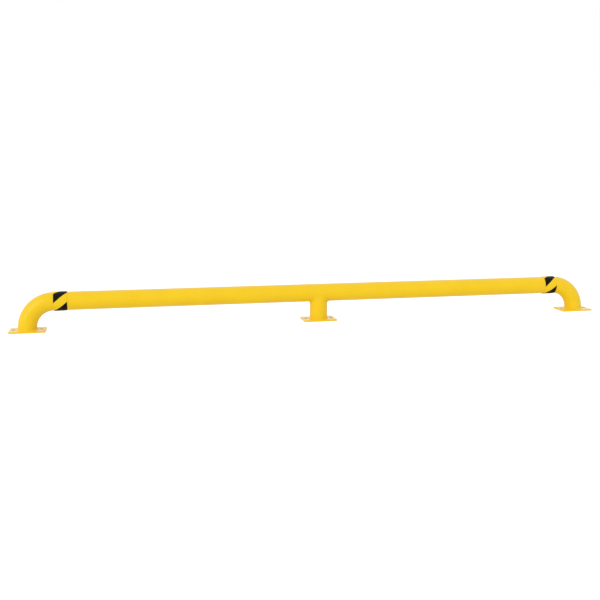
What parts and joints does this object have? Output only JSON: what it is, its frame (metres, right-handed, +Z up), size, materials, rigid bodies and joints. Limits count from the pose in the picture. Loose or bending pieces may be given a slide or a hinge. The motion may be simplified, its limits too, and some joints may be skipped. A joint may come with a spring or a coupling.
{
  "type": "industrial guard rail",
  "caption": "Low floor-mounted guard rail of large round pipe: long straight rail, elbows down to the floor at both ends, short centre post, bolted base plates and hazard tape",
  "frame": {"origin": "on the floor under the middle of the rail, at the centre of the middle base plate's underside", "axes": "+X along the rail towards the right-hand foot, +Y away from the viewer across the rail, +Z up"},
  "size_m": [3.6576, 0.1396, 0.2264],
  "materials": {
    "yellow_coating": "satin powder coat on steel",
    "black_film": "smooth vinyl wrap",
    "yellow_film": "smooth vinyl wrap"
  },
  "bodies": {
    "root": {"rail_pipe": "yellow_coating", "left_elbow": "yellow_coating", "right_elbow": "yellow_coating", "centre_post": "yellow_coating", "left_base_plate": "yellow_coating", "centre_base_plate": "yellow_coating", "right_base_plate": "yellow_coating", "left_foot_weld": "yellow_coating", "centre_foot_weld": "yellow_coating", "right_foot_weld": "yellow_coating", "left_butt_weld": "yellow_coating", "right_butt_weld": "yellow_coating", "post_saddle_weld": "yellow_coating", "left_tape_black_stripes": "black_film", "left_tape_yellow_stripes": "yellow_film", "right_tape_black_stripes": "black_film", "right_tape_yellow_stripes": "yellow_film"}
  },
  "joints": []
}
